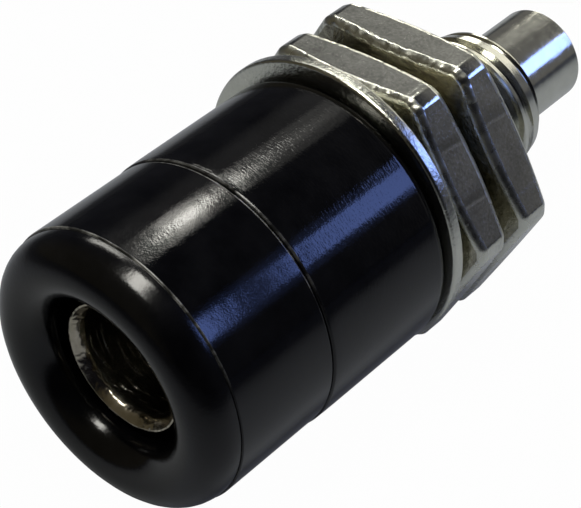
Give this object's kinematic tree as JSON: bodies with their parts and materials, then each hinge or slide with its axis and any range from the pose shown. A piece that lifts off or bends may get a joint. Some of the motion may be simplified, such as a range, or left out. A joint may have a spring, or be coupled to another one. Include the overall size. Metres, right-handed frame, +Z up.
{
  "type": "banana socket",
  "caption": "Insulated panel socket for a banana plug: round black head and rear insulator, washer and hexagon nuts on a threaded plated bush with a solder tail.",
  "frame": {"origin": "on the axis, in the plane of the head's shoulder, where it lies on the front of the panel", "axes": "+Y along the axis from the nose to the solder tail, +Z up, +X to the right seen from the front"},
  "size_m": [0.0112, 0.0232, 0.0108],
  "materials": {
    "plated_bush": "bright nickel plate, turned",
    "plated_washer": "nickel plate, stamped",
    "plated_nut": "satin nickel plate",
    "black_insulator": "fine grained, satin"
  },
  "bodies": {
    "socket": {"contact_bush": "plated_bush", "front_insulator": "black_insulator"},
    "clamp_stack": {"rear_insulator": "black_insulator", "washer": "plated_washer"},
    "clamp_nut": {"clamp_nut": "plated_nut"},
    "lock_nut": {"lock_nut": "plated_nut"}
  },
  "joints": [
    {"name": "stack_slide", "type": "slide", "parent": "socket", "child": "clamp_stack", "axis": [0, 1, 0], "range_m": [0, 0.003]},
    {"name": "clamp_nut_turn", "type": "hinge", "parent": "clamp_stack", "child": "clamp_nut", "pos_m": [0, 0.0075, 0], "axis": [0, 1, 0], "range_deg": [0, 1440]},
    {"name": "lock_nut_turn", "type": "hinge", "parent": "clamp_stack", "child": "lock_nut", "pos_m": [0, 0.0098, 0], "axis": [0, 1, 0], "range_deg": [0, 1440]}
  ],
  "couplings": [
    {"joint": "clamp_nut_turn", "follows": "stack_slide", "rad_per_m": 8377.6},
    {"joint": "lock_nut_turn", "follows": "stack_slide", "rad_per_m": 8377.6}
  ]
}
